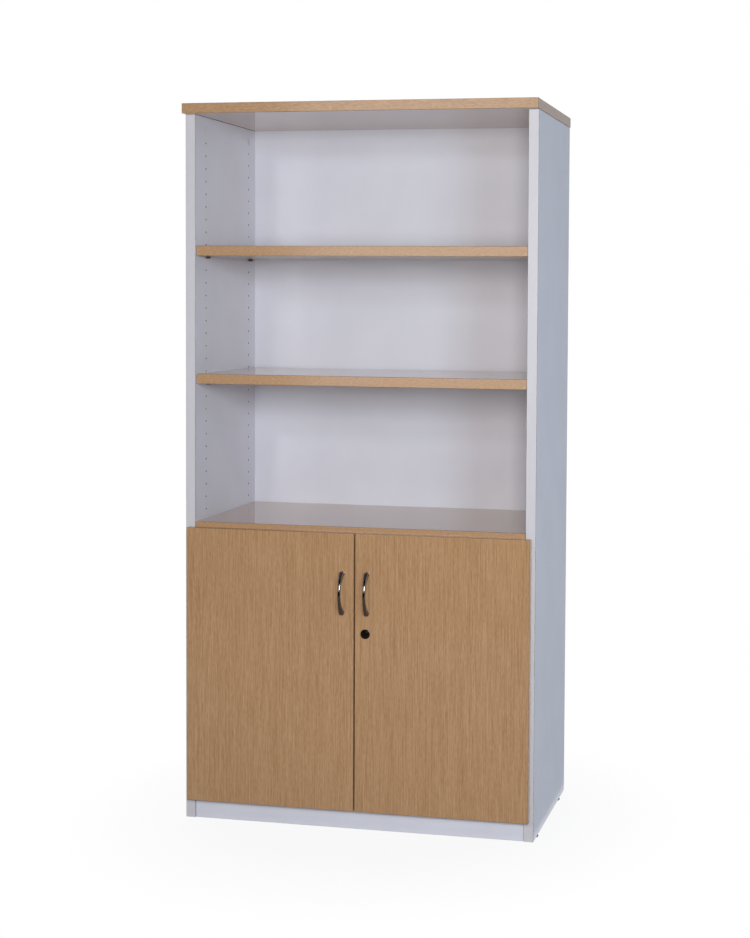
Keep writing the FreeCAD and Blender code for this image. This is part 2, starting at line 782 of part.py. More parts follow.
inner_width = "2 * (side_inner)"
shelf_room = "side_depth - back_inset - back_thickness"
corner = ("-(side_inner)", "front", "fixed_shelf_underside")
fixed = board(corner, inner_width, shelf_room, "fixed_shelf_thickness")
drilled("fixed_shelf", fixed)
corner = ("-(side_inner)", "front", "bottom_underside")
bottom = board(corner, inner_width, shelf_room, "bottom_thickness")
drilled("bottom_panel", bottom)
rail = board(
    ("-(side_inner)", "front + plinth_recess", "glide_height"),
    inner_width, "plinth_thickness", "bottom_underside - glide_height",
)
drilled("plinth_rail", rail)
back = box(
    ("-(groove_bottom)", "back_face", "back_bottom_height"),
    "2 * (groove_bottom)", "back_thickness", "side_top + groove_depth - back_bottom_height",
)
drilled("back_panel", back)

SHELVES = {
    "upper_shelf": ("first_pin", "upper_shelf_row", "shelf_setback"),
    "lower_shelf": ("first_pin", "lower_shelf_row", "shelf_setback"),
    "cupboard_shelf": ("cupboard_first_pin", "cupboard_shelf_row", "cupboard_shelf_setback"),
}
for label, (first_height, row, setback) in SHELVES.items():
    pin_height = f"{first_height} - {row} * pin_pitch"
    underside = f"{pin_height} + pin_radius + rest_gap"
    shelf_depth = f"{shelf_room} - shelf_back_gap - {setback}"
    shelf = board(
        ("shelf_end_gap - (side_inner)", f"front + {setback}", underside),
        "2 * (side_inner - shelf_end_gap)", shelf_depth, "shelf_thickness",
    )
    node(label, shelf)
    pins = []
    for side in SIDES.values():
        outward = "x" if side > 0 else "-x"
        for column in ("pin_front_column", "pin_back_column"):
            start = (f"{side} * (side_inner - pin_projection)", f"front + {column}", pin_height)
            pins.append(rod(start, outward, "pin_radius", "pin_projection + pin_insertion"))
    node_group(f"{label}_pins", pins)

node_group("cam_nuts", cams)
node_group("cam_bolts", cam_bolts)
node_group("cam_caps", caps)
node_group("wood_dowels", dowels)
node_group("back_panel_screws", back_screws)
node_group("floor_glides", glides)

doc.recompute()
for thing in doc.Objects:
    if "Invalid" in thing.State or "Error" in thing.State:
        raise RuntimeError(f"{thing.Label} failed: {thing.State}")
for thing in nodes:
    if thing.Shape.isNull() or not thing.Shape.isValid():
        raise RuntimeError(f"{thing.Label} has no valid shape")

os.makedirs("parts", exist_ok=True)
for thing in nodes:
    thing.Shape.exportStep(f"parts/{thing.Label}.step")
    print(thing.Label, len(thing.Shape.Solids), round(thing.Shape.Volume))
print(len(nodes), "nodes")
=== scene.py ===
import json
import math

import bmesh
import bpy
from mathutils import Matrix, Vector

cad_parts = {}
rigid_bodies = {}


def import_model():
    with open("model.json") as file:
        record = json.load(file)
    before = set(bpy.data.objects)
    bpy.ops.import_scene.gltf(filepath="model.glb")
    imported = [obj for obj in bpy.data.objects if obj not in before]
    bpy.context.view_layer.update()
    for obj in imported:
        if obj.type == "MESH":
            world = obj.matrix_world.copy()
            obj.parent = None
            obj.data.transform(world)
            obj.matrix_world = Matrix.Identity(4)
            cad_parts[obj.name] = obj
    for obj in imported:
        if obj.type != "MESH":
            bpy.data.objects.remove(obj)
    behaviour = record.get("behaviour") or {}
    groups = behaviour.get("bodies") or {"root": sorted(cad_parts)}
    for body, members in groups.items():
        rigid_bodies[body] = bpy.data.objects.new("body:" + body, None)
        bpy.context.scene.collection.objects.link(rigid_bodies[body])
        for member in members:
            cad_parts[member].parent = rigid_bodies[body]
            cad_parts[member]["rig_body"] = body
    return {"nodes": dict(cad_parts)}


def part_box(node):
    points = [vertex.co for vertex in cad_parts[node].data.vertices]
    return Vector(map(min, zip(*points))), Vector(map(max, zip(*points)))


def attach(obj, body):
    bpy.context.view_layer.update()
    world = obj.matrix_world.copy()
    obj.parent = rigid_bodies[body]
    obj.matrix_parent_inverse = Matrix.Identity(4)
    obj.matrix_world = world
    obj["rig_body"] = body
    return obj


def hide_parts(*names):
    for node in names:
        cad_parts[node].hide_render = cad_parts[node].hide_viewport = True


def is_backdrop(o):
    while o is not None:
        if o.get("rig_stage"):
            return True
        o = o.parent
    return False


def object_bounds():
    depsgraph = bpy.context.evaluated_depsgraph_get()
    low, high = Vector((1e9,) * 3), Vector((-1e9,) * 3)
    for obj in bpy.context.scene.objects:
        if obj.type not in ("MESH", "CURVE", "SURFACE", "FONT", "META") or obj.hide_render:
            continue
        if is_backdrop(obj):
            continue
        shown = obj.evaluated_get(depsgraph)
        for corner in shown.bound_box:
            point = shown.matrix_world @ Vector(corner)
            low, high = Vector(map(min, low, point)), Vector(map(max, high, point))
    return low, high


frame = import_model()
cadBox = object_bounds()
nodes = frame["nodes"]
nodeBody = {name: node["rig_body"] for name, node in nodes.items()}
nodeSlot = {name: node.material_slots[0].material.name for name, node in nodes.items()}
millimetre = 0.001


def tone(red, green, blue):  # a screen colour, 0 to 255, as a shader colour
    shares = [part / 255 for part in (red, green, blue)]
    linear = [s / 12.92 if s <= 0.04045 else ((s + 0.055) / 1.055) ** 2.4 for s in shares]
    return (*linear, 1.0)


def addNode(tree, kind, inputs=None, **settings):
    made = tree.nodes.new(kind)
    for name, value in settings.items():
        setattr(made, name, value)
    for name, value in (inputs or {}).items():
        socket = made.inputs[name]
        if isinstance(value, bpy.types.NodeSocket):
            tree.links.new(value, socket)
        else:
            socket.default_value = value
    return made


def calc(tree, operation, *values):
    return addNode(tree, "ShaderNodeMath", dict(enumerate(values)), operation=operation).outputs[0]


def vectorCalc(tree, operation, *values):
    made = addNode(tree, "ShaderNodeVectorMath", dict(enumerate(values)), operation=operation)
    return made.outputs[1 if operation == "LENGTH" else 0]


def combine(tree, x=0.0, y=0.0, z=0.0):
    return addNode(tree, "ShaderNodeCombineXYZ", {0: x, 1: y, 2: z}).outputs[0]


def blendColour(tree, factor, first, second):
    made = addNode(tree, "ShaderNodeMix", {0: factor, 6: first, 7: second}, data_type="RGBA")
    return made.outputs[2]


def spread(tree, value, low, high, toLow=0.0, toHigh=1.0):
    inputs = {0: value, 1: low, 2: high, 3: toLow, 4: toHigh}
    return addNode(tree, "ShaderNodeMapRange", inputs).outputs[0]


def noise(tree, vector, scale, detail=2.0, roughness=0.5):
    inputs = {"Vector": vector, "Scale": scale, "Detail": detail, "Roughness": roughness}
    return addNode(tree, "ShaderNodeTexNoise", inputs).outputs[0]


def newMaterial(name, **shaderInputs):
    material = bpy.data.materials.new(name)
    material.use_nodes = True
    tree = material.node_tree
    shader = tree.nodes["Principled BSDF"]
    for label, value in shaderInputs.items():
        shader.inputs[label.replace("_", " ")].default_value = value
    return material, tree, shader


def bump(tree, shader, height, strength, distance):
    inputs = {"Strength": strength, "Distance": distance, "Height": height}
    made = addNode(tree, "ShaderNodeBump", inputs)
    tree.links.new(made.outputs[0], shader.inputs["Normal"])


def objectPlace(tree, socket="Object"):
    return addNode(tree, "ShaderNodeTexCoord").outputs[socket]


camera = {  # angles in radians
    "place": (1.1786, -3.9863, 1.3215),
    "turnLeft": 0.1976,
    "lookDown": 0.0431,
    "roll": -0.0079,
    "lens": 61.98,
    "shift": (-0.16, -0.1066),
}
room = {
    "ambient": (0.03, (0.86, 0.93, 1.0, 1.0)),  # strength and colour
    "floorColour": tone(176, 176, 180),
    "floorRoughness": 0.9,
    "floorSize": 60.0,
    "shadowReach": (0.40, 0.80),  # the floor fades to white between these distances from the middle
    "shadowShare": 0.08,  # how much of the object's shadow the floor shows
}
mirrored = {  # what polished parts see around them: a colour, and a line of (y, z) across the room
    "greyRug": (tone(126, 116, 108), ((-0.2, 0.01), (-2.5, 0.01))),
    "darkHood": (tone(16, 16, 17), ((-2.5, 0.01), (-7.5, 0.01), (-7.5, 3.5), (-5.5, 6.0))),
    "greyCeiling": (tone(104, 95, 87), ((-5.5, 6.0), (-1.0, 7.0))),
}
mirroredHalfWidth = 9.0
sideRoom = {  # a grey wall and carpet out from each side, which the outer faces mirror
    "colour": tone(178, 178, 182),
    "wallLine": ((0.5, 7.0), (6.0, 7.0), (9.0, 0.0)),  # (x, y), from behind the object to beside it
    "wallHeight": 6.0,
    "carpetAcross": (0.455, 6.0),
    "carpetAlong": (-0.4, 7.0),
    "carpetHeight": 0.01,
}
lamps = {  # place, size, power and tint; the first four light the front
    "key": ((1.0, -3.4, 1.52), (0.8, 1.0), 65.0, (1.0, 0.95, 0.90)),
    "softbox": ((-0.9, -4.2, 1.65), (1.3, 1.7), 13.0, (0.98, 0.98, 1.0)),
    "coolSide": ((3.1, -4.2, 1.8), (1.1, 1.2), 70.0, (0.70, 0.85, 1.0)),
    "leftSpot": ((-0.85, -3.2, 2.3), (0.25, 0.25), 13.0, (0.98, 0.98, 1.0)),
    "overhead": ((0.0, 0.1, 3.3), (0.9, 0.6), 18.0, (1.0, 1.0, 1.0)),
    "behind": ((-1.5, 4.4, 1.0), (1.4, 1.4), 120.0, (0.97, 0.98, 1.0)),
    "rightSide": ((4.6, 1.2, 1.0), (1.4, 1.4), 58.0, (0.82, 0.91, 1.0)),
    "leftSide": ((-4.2, 1.2, 1.0), (1.4, 1.4), 66.0, (0.97, 0.98, 1.0)),
}
lampTarget = Vector((0.0, 0.0, 0.95))
unmirrored = ("leftSpot",)  # lamps that leave no bright image in a glossy face


def makeCamera():
    lens = bpy.data.cameras.new("camera")
    lens.lens = camera["lens"]
    lens.shift_x, lens.shift_y = camera["shift"]
    holder = bpy.data.objects.new("camera", lens)
    turn = Matrix.Rotation(camera["turnLeft"], 4, "Z")
    turn = turn @ Matrix.Rotation(-camera["lookDown"], 4, "X")
    turn = turn @ Matrix.Rotation(camera["roll"], 4, "Y")
    turn = turn @ Matrix.Rotation(math.pi / 2, 4, "X")
    holder.matrix_world = Matrix.Translation(camera["place"]) @ turn
    bpy.context.collection.objects.link(holder)
    bpy.context.scene.camera = holder


def seenDirectly(tree):  # 1 for rays that show the background, straight or mirrored
    paths = addNode(tree, "ShaderNodeLightPath").outputs
    direct = calc(tree, "MAXIMUM", paths["Is Camera Ray"], paths["Is Glossy Ray"])
    return calc(tree, "MAXIMUM", direct, paths["Is Transmission Ray"])


def makeRoom():
    world = bpy.data.worlds.new("studio")
    world.use_nodes = True
    bpy.context.scene.world = world
    tree = world.node_tree
    tree.nodes.clear()
    strength, colour = room["ambient"]
    ambient = addNode(tree, "ShaderNodeBackground", {"Color": colour, "Strength": strength})
    backdrop = addNode(tree, "ShaderNodeBackground", {"Color": (1, 1, 1, 1), "Strength": 1.0})
    inputs = {0: seenDirectly(tree), 1: ambient.outputs[0], 2: backdrop.outputs[0]}
    mixed = addNode(tree, "ShaderNodeMixShader", inputs)
    addNode(tree, "ShaderNodeOutputWorld", {0: mixed.outputs[0]})

    half = room["floorSize"] / 2
    mesh = bpy.data.meshes.new("floor")
    corners = [(-half, -half, 0), (half, -half, 0), (half, half, 0), (-half, half, 0)]
    mesh.from_pydata(corners, [], [(0, 1, 2, 3)])
    floor = bpy.data.objects.new("floor", mesh)
    bpy.context.collection.objects.link(floor)
    material, tree, shader = newMaterial("paleFloor", Base_Color=room["floorColour"])
    shader.inputs["Roughness"].default_value = room["floorRoughness"]
    near, far = room["shadowReach"]
    distance = vectorCalc(tree, "LENGTH", objectPlace(tree))
    share = spread(tree, distance, near, far, 1 - room["shadowShare"], 1.0)
    glow = addNode(tree, "ShaderNodeEmission", {"Color": (1, 1, 1, 1), "Strength": 1.0})
    factor = calc(tree, "MULTIPLY", share, seenDirectly(tree))
    inputs = {0: factor, 1: shader.outputs[0], 2: glow.outputs[0]}
    mixed = addNode(tree, "ShaderNodeMixShader", inputs)
    tree.links.new(mixed.outputs[0], tree.nodes["Material Output"].inputs["Surface"])
    mesh.materials.append(material)
    floor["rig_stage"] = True


def stagePanel(name, colour, corners):  # a bent panel that is seen only as a reflection
    mesh = bpy.data.meshes.new(name)
    faces = [(n, n + 1, n + 3, n + 2) for n in range(0, len(corners) - 2, 2)]
    mesh.from_pydata(corners, [], faces)
    panel = bpy.data.objects.new(name, mesh)
    bpy.context.collection.objects.link(panel)
    material, tree = newMaterial(name)[:2]
    glow = addNode(tree, "ShaderNodeEmission", {"Color": colour, "Strength": 1.0})
    tree.links.new(glow.outputs[0], tree.nodes["Material Output"].inputs["Surface"])
    mesh.materials.append(material)
    panel.visible_camera = False
    panel.visible_diffuse = False
    panel.visible_shadow = False
    panel.visible_transmission = False
    panel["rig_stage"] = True


def makeLamps():
    for name, (place, size, power, tint) in lamps.items():
        light = bpy.data.lights.new(name, "AREA")
        light.shape = "RECTANGLE"
        light.size, light.size_y = size
        light.energy = power
        light.color = tint
        holder = bpy.data.objects.new(name, light)
        place = Vector(place)
        facing = (lampTarget - place).to_track_quat("-Z", "Y").to_matrix().to_4x4()
        holder.matrix_world = Matrix.Translation(place) @ facing
        holder.visible_camera = False
        holder.visible_glossy = name not in unmirrored
        bpy.context.collection.objects.link(holder)


bpy.context.scene.view_settings.view_transform = "Standard"
makeCamera()
makeRoom()
for name, (colour, line) in mirrored.items():
    ends = (-mirroredHalfWidth, mirroredHalfWidth)
    stagePanel(name, colour, [(end, y, z) for y, z in line for end in ends])
for hand, side in (("Left", -1), ("Right", 1)):
    ends = (0.0, sideRoom["wallHeight"])
    wall = [(side * x, y, end) for x, y in sideRoom["wallLine"] for end in ends]
    stagePanel("greyWall" + hand, sideRoom["colour"], wall)
    across, along = sideRoom["carpetAcross"], sideRoom["carpetAlong"]
    carpet = [(side * x, y, sideRoom["carpetHeight"]) for x in across for y in along]
    stagePanel("greyCarpet" + hand, sideRoom["colour"], carpet)
makeLamps()
print("camera, room and lamps ready")


beech = {
    "light": tone(189, 152, 115),
    "dark": tone(160, 122, 85),
    "layers": {  # scale across the grain, share of it along the grain, and weight in the figure
        "bands": (30.0, 0.05, 0.10),
        "streaks": (400.0, 0.034, 0.50),
        "lines": (440.0, 0.012, 0.42),
        "dashes": (420.0, 0.16, 0.40),
        "fibres": (1000.0, 0.06, 0.25),
    },
    "layerDetail": 1.5,
    "layerContrast": (0.30, 0.70),
    "sway": 0.008,  # how far the figure wanders off a straight line, in metres
    "swayScale": 3.0,
    "swayAlong": 0.3,
    "roughness": (0.12, 0.16),  # where the figure is light, and where it is dark
    "coat": (0.45, 0.12),  # the clear overlay's weight and roughness
    "bump": (0.12, 0.0002),  # strength and distance
}
white = {
    "colour": tone(215, 217, 228),
    "shade": tone(211, 213, 224),
    "mottleScale": 7.0,
    "mottleContrast": (0.35, 0.65),
    "peelScale": 700.0,
    "roughness": 0.26,
    "bump": (0.06, 0.0001),
}
# the chipboard core seen in holes and grooves, made very dark: partly the core's own brown, partly painted
# shade inside the holes
chipboardWithHoleShade = {
    "light": tone(48, 37, 29),
    "dark": tone(20, 15, 11),
    "scale": 480.0,
    "contrast": (0.35, 0.65),
}
edging = {
    "width": 0.9 * millimetre,
    "coreDepth": 0.1 * millimetre,
    "tones": {  # where the figure is dark, and where it is light
        "beech": (tone(167, 130, 95), tone(194, 159, 124)),
        "white": (tone(199, 197, 201), tone(203, 201, 205)),
    },
    "dashes": (620.0, 0.2),  # scale of the figure on the band, and share of it along the grain
    "dashContrast": (0.3, 0.7),
    "share": 0.85,  # how far the band's own colour covers the board's
}
endFacing = 0.7  # a face that looks along the grain by more than this is an end

boards = {  # the decor of each board, the axis its grain runs along, and the shift of its figure
    "side_panel_left": ("white", "z", 0.0),
    "side_panel_right": ("white", "z", 0.7),
    "plinth_rail": ("white", "x", 1.3),
    "back_panel": ("white", "z", 2.1),
    "top_panel": ("beech", "x", 0.0),
    "fixed_shelf": ("beech", "x", 1.7),
    "bottom_panel": ("beech", "x", 2.9),
    "upper_shelf": ("beech", "x", 4.1),
    "lower_shelf": ("beech", "x", 5.3),
    "cupboard_shelf": ("beech", "x", 6.7),
    "left_door": ("beech", "z", 8.3),
    "right_door": ("beech", "z", 9.1),
}


def grainStretch(tree, grain, slow):  # along the grain, and on end edges along the band
    stretch = {"x": (slow, 1, 1), "y": (1, slow, 1), "z": (1, 1, slow)}
    across = {"x": "y", "z": "x"}[grain]
    facing = vectorCalc(tree, "ABSOLUTE", objectPlace(tree, "Normal"))
    split = addNode(tree, "ShaderNodeSeparateXYZ", {0: facing}).outputs["XYZ".index(grain.upper())]
    onEnd = calc(tree, "GREATER_THAN", split, endFacing)
    inputs = {0: onEnd, 4: stretch[grain], 5: stretch[across]}
    return addNode(tree, "ShaderNodeMix", inputs, data_type="VECTOR").outputs[1]


def beechDecor(tree, centred, grain, shift):  # colour, gloss and height of the printed wood figure
    place = vectorCalc(tree, "ADD", centred, (shift, shift, shift))
    slowPlace = vectorCalc(tree, "MULTIPLY", place, grainStretch(tree, grain, beech["swayAlong"]))
    swing = calc(tree, "SUBTRACT", noise(tree, slowPlace, beech["swayScale"], detail=1.0), 0.5)
    swing = calc(tree, "MULTIPLY", swing, beech["sway"])
    place = vectorCalc(tree, "ADD", place, combine(tree, swing, swing, swing))
    figure = None
    for scale, slow, weight in beech["layers"].values():
        stretched = vectorCalc(tree, "MULTIPLY", place, grainStretch(tree, grain, slow))
        cloud = noise(tree, stretched, scale, beech["layerDetail"])
        layer = spread(tree, cloud, *beech["layerContrast"], -weight, weight)
        figure = layer if figure is None else calc(tree, "ADD", figure, layer)
    mixed = calc(tree, "MULTIPLY_ADD", figure, 0.5, 0.5)
    colour = blendColour(tree, mixed, beech["dark"], beech["light"])
    gloss = spread(tree, mixed, 0.0, 1.0, beech["roughness"][1], beech["roughness"][0])
    return colour, gloss, mixed


def whiteDecor(tree, centred):
    cloud = noise(tree, centred, white["mottleScale"], detail=3.0)
    mottle = spread(tree, cloud, *white["mottleContrast"])
    colour = blendColour(tree, mottle, white["shade"], white["colour"])
    return colour, noise(tree, centred, white["peelScale"], detail=1.0)


def shadedCoreInHoles(tree, parts):  # 1 on the walls of holes and grooves, below the laminate, where the dark core colour paints the shade inside them
    least = calc(tree, "MINIMUM", calc(tree, "MINIMUM", parts[0], parts[1]), parts[2])
    return calc(tree, "GREATER_THAN", least, edging["coreDepth"])


def onEdging(tree, parts, size):  # 1 on the band glued round the rim
    thin = list(size).index(min(size))
    first, second = [part for axis, part in enumerate(parts) if axis != thin]
    return calc(tree, "LESS_THAN", calc(tree, "MINIMUM", first, second), edging["width"])


def boardMaterial(name):
    decor, grain, shift = boards[name]
    low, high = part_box(name)
    size = high - low
    material, tree, shader = newMaterial(name + "Finish")
    inputs = {"Vector": objectPlace(tree), "Location": tuple(-(low + high) / 2)}
    centred = addNode(tree, "ShaderNodeMapping", inputs).outputs[0]
    if decor == "beech":
        colour, gloss, height = beechDecor(tree, centred, grain, shift)
        tree.links.new(gloss, shader.inputs["Roughness"])
        coat, coatRoughness = beech["coat"]
        shader.inputs["Coat Weight"].default_value = coat
        shader.inputs["Coat Roughness"].default_value = coatRoughness
    else:
        colour, height = whiteDecor(tree, centred)
        shader.inputs["Roughness"].default_value = white["roughness"]
    depth = vectorCalc(tree, "SUBTRACT", tuple(size / 2), vectorCalc(tree, "ABSOLUTE", centred))
    parts = list(addNode(tree, "ShaderNodeSeparateXYZ", {0: depth}).outputs)
    band = calc(tree, "MULTIPLY", onEdging(tree, parts, size), edging["share"])
    fine, slow = edging["dashes"]
    dashPlace = vectorCalc(tree, "MULTIPLY", centred, grainStretch(tree, grain, slow))
    dashes = spread(tree, noise(tree, dashPlace, fine), *edging["dashContrast"])
    strip = blendColour(tree, dashes, *edging["tones"][decor])
    colour = blendColour(tree, band, colour, strip)
    # the core's brown with painted shade, laid on the walls of holes and grooves
    chips = noise(tree, centred, chipboardWithHoleShade["scale"], detail=3.0, roughness=0.7)
    grains = spread(tree, chips, *chipboardWithHoleShade["contrast"])
    coreWithHoleShade = blendColour(tree, grains, chipboardWithHoleShade["dark"], chipboardWithHoleShade["light"])
    colour = blendColour(tree, shadedCoreInHoles(tree, parts), colour, coreWithHoleShade)
    tree.links.new(colour, shader.inputs["Base Color"])
    strength, distance = (beech if decor == "beech" else white)["bump"]
    bump(tree, shader, height, strength, distance)
    return material


for name in boards:
    nodes[name].material_slots[0].material = boardMaterial(name)
print("boards finished:", len(boards))


metals = {  # colour, roughness, and how much the roughness varies
    "darkNickel": (tone(132, 128, 125), 0.10, 0.04),
    "lockBronze": (tone(74, 60, 50), 0.20, 0.06),
    "zincSteel": (tone(196, 198, 204), 0.34, 0.12),
    "nickelSteel": (tone(205, 203, 198), 0.22, 0.08),
    "bronzedSteel": (tone(120, 98, 76), 0.30, 0.10),
}
plastics = {  # colour and roughness
    "lockBlack": (tone(13, 11, 10), 0.12),
    "glideBlack": (tone(26, 20, 18), 0.50),
    "bufferClear": (tone(226, 226, 222), 0.35),
    "capWhite": (tone(196, 196, 202), 0.45),
}
speckle = {"scale": 260.0, "contrast": (0.3, 0.7)}
moulding = {"scale": 1040.0, "bump": (0.1, 0.0001)}
dowel = {
    "light": tone(214, 184, 146),
    "dark": tone(176, 140, 100),
    "fibreScale": 600.0,
    "roughness": 0.6,
}


def metalMaterial(name):
    colour, roughness, change = metals[name]
    material, tree, shader = newMaterial(name, Base_Color=colour, Metallic=1.0)
    cloud = noise(tree, objectPlace(tree), speckle["scale"], detail=3.0)
    ends = (roughness - change / 2, roughness + change / 2)
    gloss = spread(tree, cloud, *speckle["contrast"], *ends)
    tree.links.new(gloss, shader.inputs["Roughness"])
    return material


def plasticMaterial(name):
    colour, roughness = plastics[name]
    material, tree, shader = newMaterial(name, Base_Color=colour, Roughness=roughness)
    bump(tree, shader, noise(tree, objectPlace(tree), moulding["scale"]), *moulding["bump"])
    return material


def dowelMaterial():
    material, tree, shader = newMaterial("dowelBeech", Roughness=dowel["roughness"])
    fibres = noise(tree, objectPlace(tree), dowel["fibreScale"], detail=3.0)
    colour = blendColour(tree, fibres, dowel["dark"], dowel["light"])
    tree.links.new(colour, shader.inputs["Base Color"])
    return material


finishes = {name: metalMaterial(name) for name in metals}
finishes.update({name: plasticMaterial(name) for name in plastics})
finishes["dowelBeech"] = dowelMaterial()

fittings = {  # the finish of each fitting, and the width of the soft edge it gets, in millimetres
    "left_hinge_cups": ("nickelSteel", 0.5),
    "right_hinge_cups": ("nickelSteel", 0.5),
    "left_hinge_links": ("nickelSteel", 0.4),
    "right_hinge_links": ("nickelSteel", 0.4),
    "left_hinge_arms": ("nickelSteel", 1.2),
    "right_hinge_arms": ("nickelSteel", 1.2),
    "left_hinge_plates": ("nickelSteel", 0.5),
    "right_hinge_plates": ("nickelSteel", 0.5),
    "left_door_buffers": ("bufferClear", 0.7),
    "right_door_buffers": ("bufferClear", 0.7),
    "lock_plug": ("lockBronze", 0.15),
    "lock_tongue": ("zincSteel", 0.3),
    "lock_nut": ("zincSteel", 0.4),
    "lock_keeper": ("nickelSteel", 0.5),
    "left_bolt": ("nickelSteel", 0.6),
    "bolt_guide": ("nickelSteel", 0.6),
    "upper_shelf_pins": ("bronzedSteel", 0.5),
    "lower_shelf_pins": ("bronzedSteel", 0.5),
    "cupboard_shelf_pins": ("bronzedSteel", 0.5),
    "cam_caps": ("capWhite", 0.5),
}
hidden = {"cam_nuts": "zincSteel", "cam_bolts": "zincSteel", "wood_dowels": "dowelBeech"}
softEdge = {"segments": 2, "sharperThan": math.radians(40)}
joining = {"gap": 1e-6, "flatWithin": math.radians(0.5)}


def mergedCopy(name):  # the node's mesh with its loose triangles joined and flat faces made whole
    mesh = bmesh.new()
    mesh.from_mesh(nodes[name].data)
    bmesh.ops.remove_doubles(mesh, verts=mesh.verts, dist=joining["gap"])
    flat = joining["flatWithin"]
    bmesh.ops.dissolve_limit(mesh, angle_limit=flat, verts=mesh.verts, edges=mesh.edges)
    return mesh


def finishPiece(piece, body, slot, *replaced):
    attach(piece, body)
    if replaced:
        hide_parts(*replaced)


def pieceFrom(mesh, name, material, smoothAngle=35):
    data = bpy.data.meshes.new(name)
    mesh.to_mesh(data)
    mesh.free()
    data.materials.clear()
    data.materials.append(material)
    piece = bpy.data.objects.new(name, data)
    bpy.context.collection.objects.link(piece)
    data.shade_smooth()
    data.set_sharp_from_angle(angle=math.radians(smoothAngle))
    return piece


for name, (finish, edgeWidth) in fittings.items():
    piece = pieceFrom(mergedCopy(name), name + "_finished", finishes[finish])
    soft = piece.modifiers.new("softEdges", "BEVEL")
    soft.width = edgeWidth * millimetre
    soft.segments = softEdge["segments"]
    soft.limit_method = "ANGLE"
    soft.angle_limit = softEdge["sharperThan"]
    soft.harden_normals = True
    finishPiece(piece, nodeBody[name], nodeSlot[name], name)
for name, finish in hidden.items():
    nodes[name].material_slots[0].material = finishes[finish]
print("fittings finished:", len(fittings))


def geometryTree(name, sizes):  # a tree with named inputs, which closeTree finishes
    tree = bpy.data.node_groups.new(name, "GeometryNodeTree")
    for way in ("OUTPUT", "INPUT"):
        tree.interface.new_socket("Geometry", in_out=way, socket_type="NodeSocketGeometry")
    for label in sizes:
        tree.interface.new_socket(label, in_out="INPUT", socket_type="NodeSocketFloat")
    tree.interface.new_socket("Finish", in_out="INPUT", socket_type="NodeSocketMaterial")
    return tree, tree.nodes.new("NodeGroupInput").outputs


def closeTree(tree, given, geometry, smoothAngle=35):
    realized = addNode(tree, "GeometryNodeRealizeInstances", {"Geometry": geometry}).outputs[0]
    smooth = addNode(tree, "GeometryNodeSetShadeSmooth", {0: realized, 2: True}).outputs[0]
    bend = addNode(tree, "GeometryNodeInputMeshEdgeAngle").outputs[0]
    gentle = calc(tree, "LESS_THAN", bend, math.radians(smoothAngle))
    inputs = {0: smooth, 2: gentle}
    edged = addNode(tree, "GeometryNodeSetShadeSmooth", inputs, domain="EDGE").outputs[0]
    inputs = {"Geometry": edged, "Material": given["Finish"]}
    dressed = addNode(tree, "GeometryNodeSetMaterial", inputs).outputs[0]
    tree.links.new(dressed, tree.nodes.new("NodeGroupOutput").inputs[0])


def grown(name, tree, sizes, finish, points=(), facings=()):  # the tree's result as a plain mesh
    seed = bpy.data.meshes.new(name + "Seed")
    seed.from_pydata(points, [], [])
    if points:
        way = seed.attributes.new("facing", "FLOAT_VECTOR", "POINT")
        way.data.foreach_set("vector", [part for facing in facings for part in facing])
    holder = bpy.data.objects.new(name + "Seed", seed)
    bpy.context.collection.objects.link(holder)
    modifier = holder.modifiers.new("grow", "NODES")
    modifier.node_group = tree
    values = {**sizes, "Finish": finish}
    for socket in tree.interface.items_tree:
        if socket.in_out == "INPUT" and socket.name in values:
            modifier[socket.identifier] = values[socket.name]
    ready = holder.evaluated_get(bpy.context.evaluated_depsgraph_get())
    mesh = bpy.data.meshes.new_from_object(ready)
    bpy.data.objects.remove(holder)
    piece = bpy.data.objects.new(name, mesh)
    bpy.context.collection.objects.link(piece)
    return piece


def moved(tree, geometry, place=(0, 0, 0), turn=(0, 0, 0), scale=(1, 1, 1)):
    inputs = {"Geometry": geometry, "Translation": place, "Rotation": turn, "Scale": scale}
    return addNode(tree, "GeometryNodeTransform", inputs).outputs[0]


def joined(tree, *parts):
    made = tree.nodes.new("GeometryNodeJoinGeometry")
    for part in parts:
        tree.links.new(part, made.inputs[0])
    return made.outputs[0]


def boolean(tree, operation, first, *others):
    made = addNode(tree, "GeometryNodeMeshBoolean", operation=operation, solver="MANIFOLD")
    if operation == "DIFFERENCE":
        tree.links.new(first, made.inputs[0])
    else:
        others = (first, *others)
    for part in others:
        tree.links.new(part, made.inputs[1])
    return made.outputs[0]


def box(tree, length, width, height):
    size = combine(tree, length, width, height)
    return addNode(tree, "GeometryNodeMeshCube", {"Size": size}).outputs[0]


cutterSize = 0.1


def cutterTo(tree, direction):  # a block on one side of the origin, larger than what it trims
    place = tuple(part * cutterSize / 2 for part in direction)
    return moved(tree, box(tree, cutterSize, cutterSize, cutterSize), place)


def cylinder(tree, radius, depth, corners=32):
    inputs = {"Vertices": corners, "Radius": radius, "Depth": depth}
    return addNode(tree, "GeometryNodeMeshCylinder", inputs).outputs[0]


def ball(tree, radius, segments=32, rings=16):
    inputs = {"Segments": segments, "Rings": rings, "Radius": radius}
    return addNode(tree, "GeometryNodeMeshUVSphere", inputs).outputs[0]


handle = {
    "middleRadius": 3.2 * millimetre,
    "footSwell": 1.1 * millimetre,  # added to the radius of the solid's feet
    "endShare": 0.98,  # of the foot's radius, where the bow runs into it
    "post": 4.0 * millimetre,
    "arcSteps": 72,
    "ringSteps": 32,
    "squareness": 3.2,  # 2 is a circle
}


